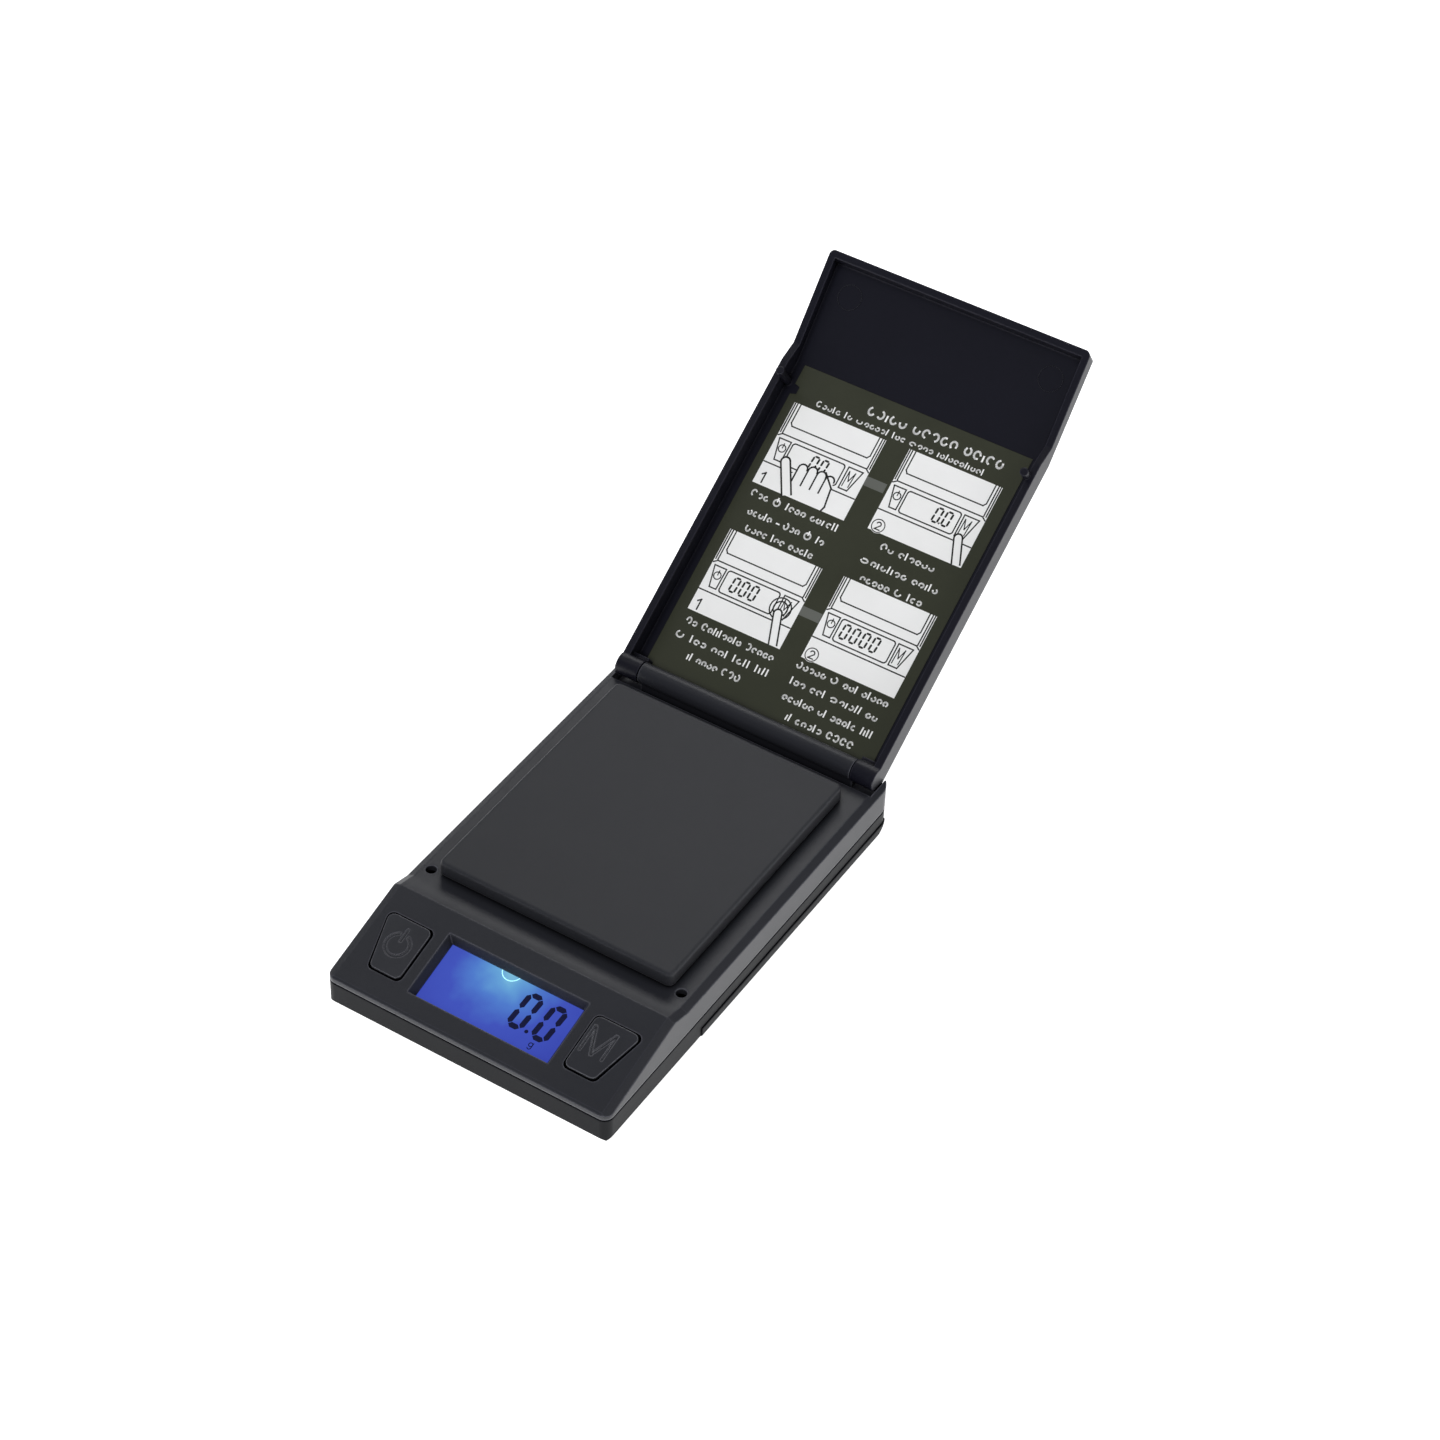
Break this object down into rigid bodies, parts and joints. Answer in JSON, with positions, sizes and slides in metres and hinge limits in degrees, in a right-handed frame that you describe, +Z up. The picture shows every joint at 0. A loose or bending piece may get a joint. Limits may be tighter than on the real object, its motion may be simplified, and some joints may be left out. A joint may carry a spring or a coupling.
{
  "type": "digital gram scale",
  "caption": "Pocket digital scale for grams, with a square weighing platform, a sloping key and display panel, a flip-over lid and a sliding battery door.",
  "frame": {"origin": "on the ground under the middle of the scale as drawn, with its lid open", "axes": "+Z up; +Y from the control panel to the hinge and lid; +X to the right of someone facing the panel"},
  "size_m": [0.0806, 0.221, 0.0902],
  "materials": {
    "shell_plastic": "fine satin moulded ABS, charcoal",
    "door_plastic": "fine satin moulded ABS, charcoal",
    "key_plastic": "satin moulded ABS, charcoal",
    "platform_plastic": "satin moulded ABS, near black",
    "carrier_plastic": "moulded ABS, black",
    "lid_plastic": "smooth moulded ABS, blue-black",
    "label_film": "printed vinyl film, gloss",
    "foot_rubber": "matte rubber",
    "display_glass": "clear glass over a blue film",
    "display_frame": "moulded, black",
    "backlight_plastic": "translucent white acrylic",
    "zebra_rubber": "silicone with carbon layers",
    "board_laminate": "green solder mask",
    "chip_resin": "black potting resin",
    "switch_plastic": "moulded, black",
    "tin_plate": "plated steel",
    "spring_steel": "nickel-plated wire",
    "beam_metal": "machined",
    "sealant": "white silicone",
    "cell_jacket": "printed foil jacket",
    "wire_sheath": "PVC"
  },
  "bodies": {
    "base": {"upper_shell": "shell_plastic", "lower_shell": "shell_plastic", "front_feet": "foot_rubber", "case_screws": "tin_plate", "lcd_glass": "display_glass", "lcd_frame": "display_frame", "backlight": "backlight_plastic", "zebra_strip": "zebra_rubber", "main_board": "board_laminate", "chip_blob": "chip_resin", "crystal": "tin_plate", "key_switches": "switch_plastic", "board_screws": "tin_plate", "load_cell": "beam_metal", "gauge_sealant": "sealant", "cell_screws": "tin_plate", "overload_stop": "tin_plate", "battery_left": "cell_jacket", "battery_right": "cell_jacket", "battery_springs": "spring_steel", "battery_plates": "tin_plate", "gauge_wires": "wire_sheath", "battery_wires": "wire_sheath", "link_wire": "wire_sheath", "hinge_pins": "tin_plate"},
    "lid": {"lid_shell": "lid_plastic", "lid_label": "label_film"},
    "power": {"power_key": "key_plastic"},
    "mode": {"mode_key": "key_plastic"},
    "platform": {"weighing_platform": "platform_plastic", "platform_carrier": "carrier_plastic", "carrier_screws": "tin_plate"},
    "door": {"battery_door": "door_plastic", "rear_feet": "foot_rubber"}
  },
  "joints": [
    {"name": "lid_hinge", "type": "hinge", "parent": "base", "child": "lid", "pos_m": [0, 0.01181, 0.0182], "axis": [1, 0, 0], "range_deg": [0, 146.6]},
    {"name": "power_key_press", "type": "slide", "parent": "base", "child": "power", "axis": [0, 0.2733, -0.9619], "range_m": [0, 0.0008], "stiffness_N_per_m": 1200, "springref_m": -0.0003},
    {"name": "mode_key_press", "type": "slide", "parent": "base", "child": "mode", "axis": [0, 0.2733, -0.9619], "range_m": [0, 0.0008], "stiffness_N_per_m": 1200, "springref_m": -0.0003},
    {"name": "platform_press", "type": "slide", "parent": "base", "child": "platform", "axis": [0, 0, -1], "range_m": [0, 0.0004], "stiffness_N_per_m": 12000, "springref_m": -0.00002, "deforming": ["load_cell"]},
    {"name": "battery_door_slide", "type": "slide", "parent": "base", "child": "door", "axis": [0, 1, 0], "range_m": [0, 0.085]}
  ]
}
